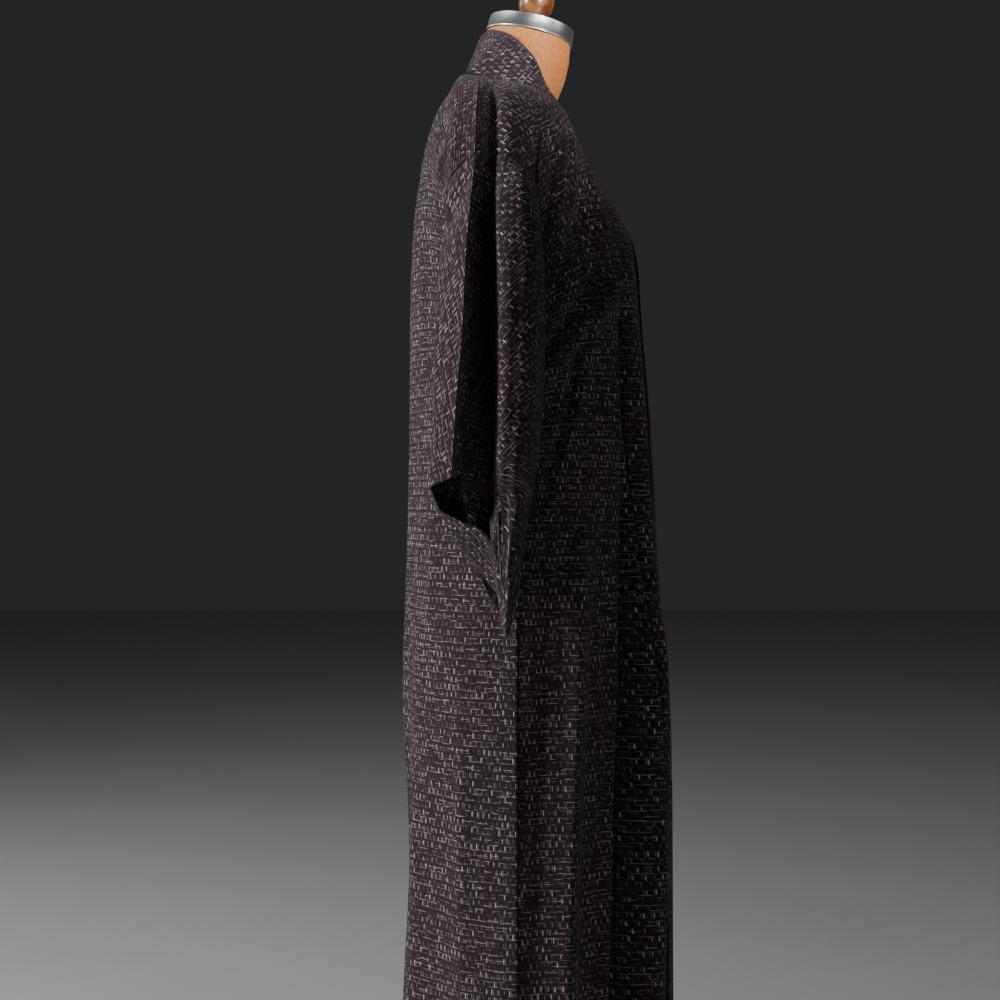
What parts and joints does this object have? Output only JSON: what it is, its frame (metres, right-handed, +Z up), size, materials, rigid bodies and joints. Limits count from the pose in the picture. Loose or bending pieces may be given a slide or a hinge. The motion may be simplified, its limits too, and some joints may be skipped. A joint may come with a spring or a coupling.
{
  "type": "yukata robe on dress form",
  "caption": "A charcoal cotton yukata robe with open sleeves, worn without its belt on a tan linen dress form with a metal neck cap, turned finial, pole and round base.",
  "frame": {"origin": "on the floor, at the middle of the underside of the round base", "axes": "+Z is up; the dress form faces -Y, so its right side is at -X and its left side at +X"},
  "size_m": [0.6366, 0.3877, 1.789],
  "materials": {
    "robe": "matt charcoal cotton with short cream flecks woven in",
    "collar": "the same cotton folded double",
    "form_cover": "tan linen stretched smooth",
    "cap": "brushed bright",
    "finial": "turned and varnished",
    "pole": "grey tube",
    "base": "black paint"
  },
  "bodies": {
    "root": {"body_right": "robe", "body_left": "robe", "overlap_right": "robe", "overlap_left": "robe", "sleeve_right": "robe", "sleeve_left": "robe", "collar": "collar", "form": "form_cover", "neck_cap": "cap", "finial": "finial", "pole": "pole", "base": "base"}
  },
  "joints": []
}
